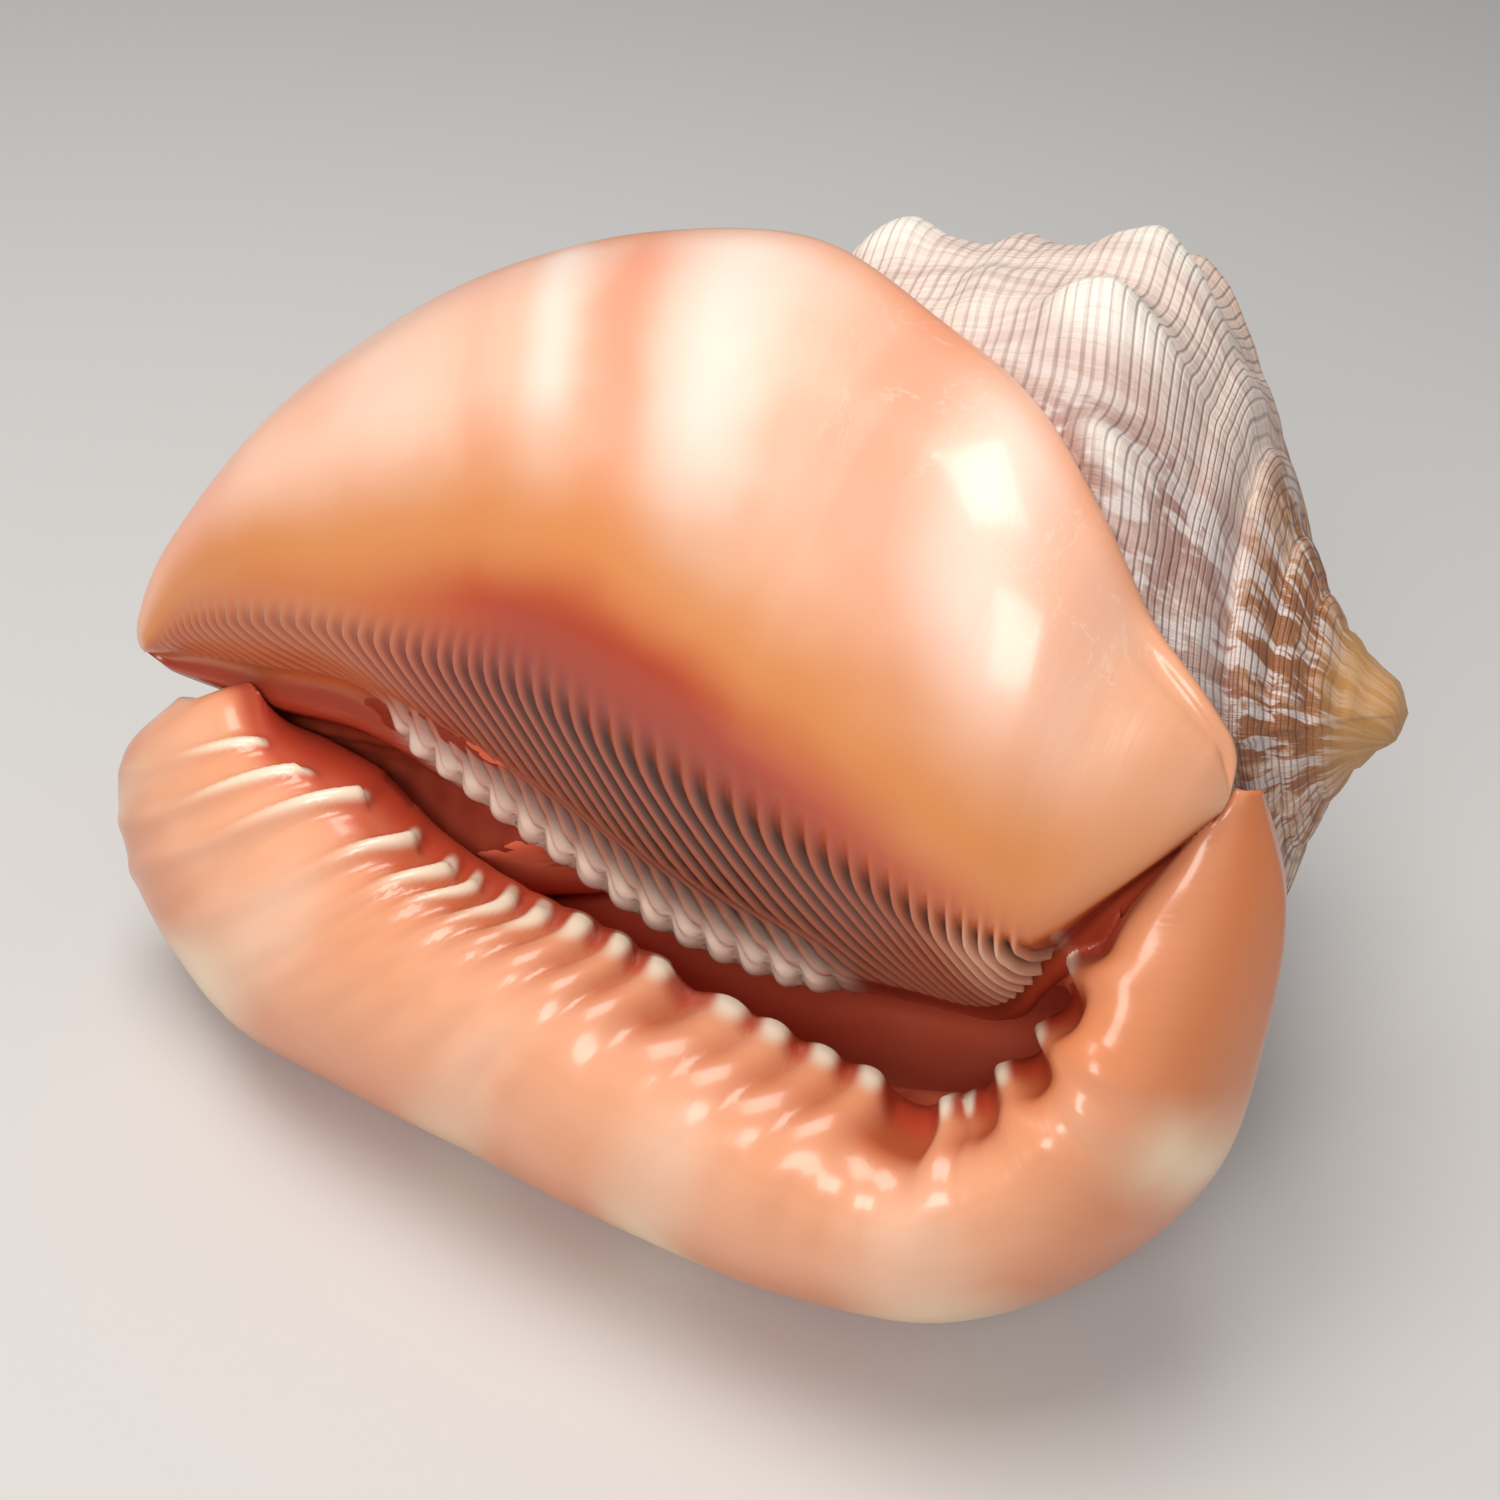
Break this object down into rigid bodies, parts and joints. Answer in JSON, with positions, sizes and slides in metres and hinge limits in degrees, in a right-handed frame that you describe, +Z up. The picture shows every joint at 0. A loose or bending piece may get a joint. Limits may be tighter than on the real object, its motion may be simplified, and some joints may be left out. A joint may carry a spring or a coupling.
{
  "type": "conch shell",
  "caption": "Large helmet shell with a domed parietal shield, a thick toothed outer lip, a slit mouth, knobbed body whorl and a low spire.",
  "frame": {"origin": "on the resting surface, under the middle of the shell", "axes": "+X towards the apex along the lying shell, -Y out of the mouth, +Z up as it lies"},
  "size_m": [0.1392, 0.107, 0.1038],
  "materials": {
    "shell": "glossy peach and orange callus, duller cream and rust-brown back"
  },
  "bodies": {
    "root": {"shell": "shell"}
  },
  "joints": []
}
